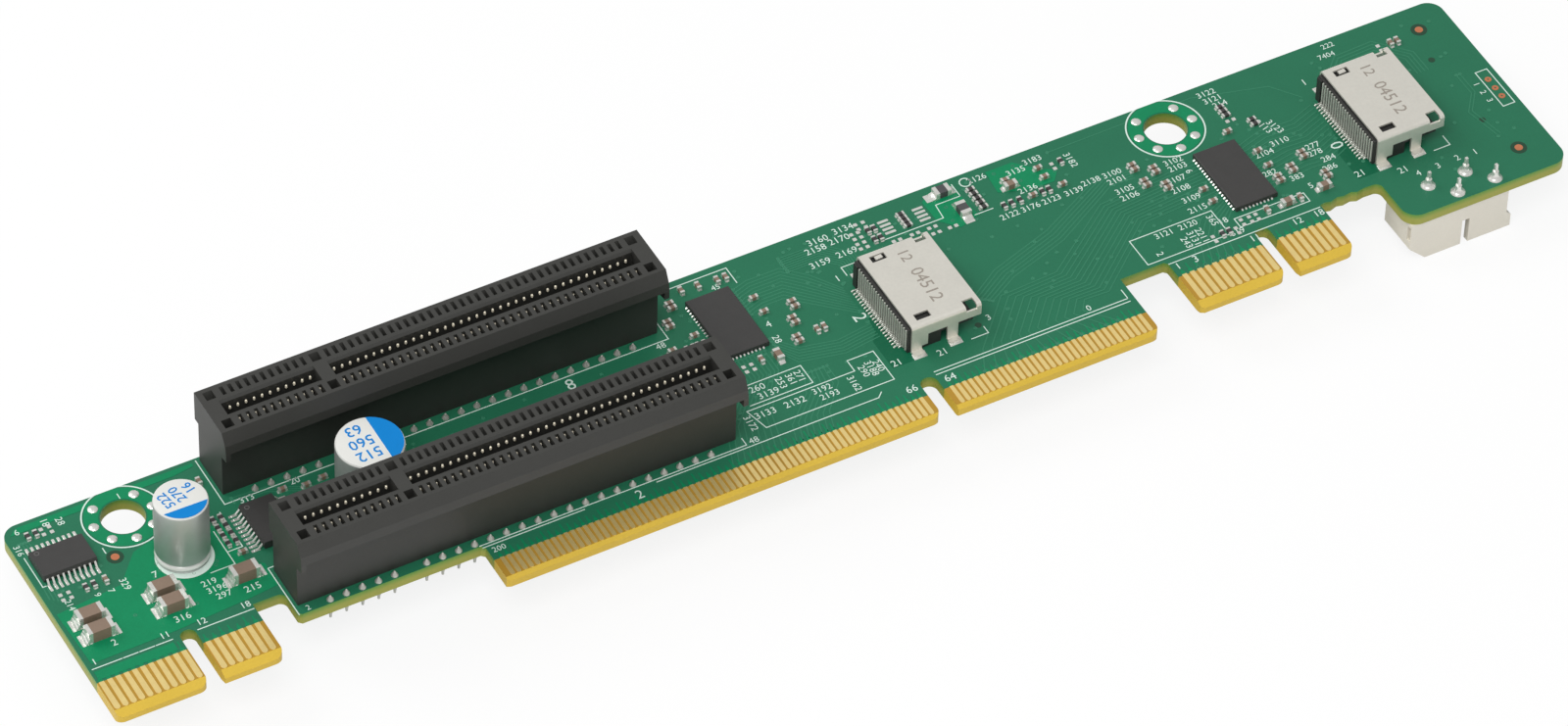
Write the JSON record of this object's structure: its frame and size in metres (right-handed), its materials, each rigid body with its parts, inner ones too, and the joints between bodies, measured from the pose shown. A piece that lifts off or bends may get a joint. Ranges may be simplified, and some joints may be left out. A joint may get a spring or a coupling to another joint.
{
  "type": "pcie riser card",
  "caption": "Long narrow server riser card: green circuit board with keyed gold edge tabs, two card slots standing side by side, shielded cable ports and an underside power header.",
  "frame": {"origin": "centre of the left mounting hole, on the underside of the circuit board", "axes": "+X along the card towards the power header, +Y towards the straight back edge, +Z out of the component side"},
  "size_m": [0.1885, 0.0327, 0.0189],
  "materials": {
    "laminate": "green solder mask over glass-epoxy laminate",
    "gold": "gold plating",
    "slot_plastic": "black moulded, fine matt",
    "contact_metal": "gold-flashed spring contacts",
    "solder": "bright tin solder",
    "can_aluminium": "drawn, satin",
    "chip_plastic": "moulded epoxy",
    "shield_metal": "tin-plated sheet",
    "port_plastic": "black moulded",
    "header_plastic": "natural off-white nylon",
    "ceramic": "fired brown ceramic",
    "resistor": "black glazed film"
  },
  "bodies": {
    "root": {"bulk_capacitor_bodies": "ceramic", "bulk_capacitor_ends": "solder", "capacitor_leads": "solder", "centre_driver_body": "chip_plastic", "centre_driver_leads": "solder", "circuit_board": "laminate", "ferrite_beads": "chip_plastic", "front_slot_contacts": "contact_metal", "front_slot_housing": "slot_plastic", "front_slot_shoulders": "solder", "front_slot_tails": "solder", "large_capacitor_can": "can_aluminium", "left_driver_body": "chip_plastic", "left_driver_leads": "solder", "left_edge_fingers": "gold", "left_edge_fingers_under": "gold", "left_port_contacts": "solder", "left_port_insulator": "port_plastic", "left_port_shell": "shield_metal", "left_switch_chip": "chip_plastic", "medium_chip_capacitors": "ceramic", "middle_edge_fingers": "gold", "middle_edge_fingers_under": "gold", "power_header_housing": "header_plastic", "power_header_pins": "solder", "rear_slot_contacts": "contact_metal", "rear_slot_housing": "slot_plastic", "rear_slot_shoulders": "solder", "rear_slot_tails": "solder", "right_edge_fingers": "gold", "right_edge_fingers_under": "gold", "right_port_contacts": "solder", "right_port_insulator": "port_plastic", "right_port_shell": "shield_metal", "right_switch_chip": "chip_plastic", "small_capacitor_can": "can_aluminium", "small_chip_capacitors": "ceramic", "small_chip_resistors": "resistor"}
  },
  "joints": []
}
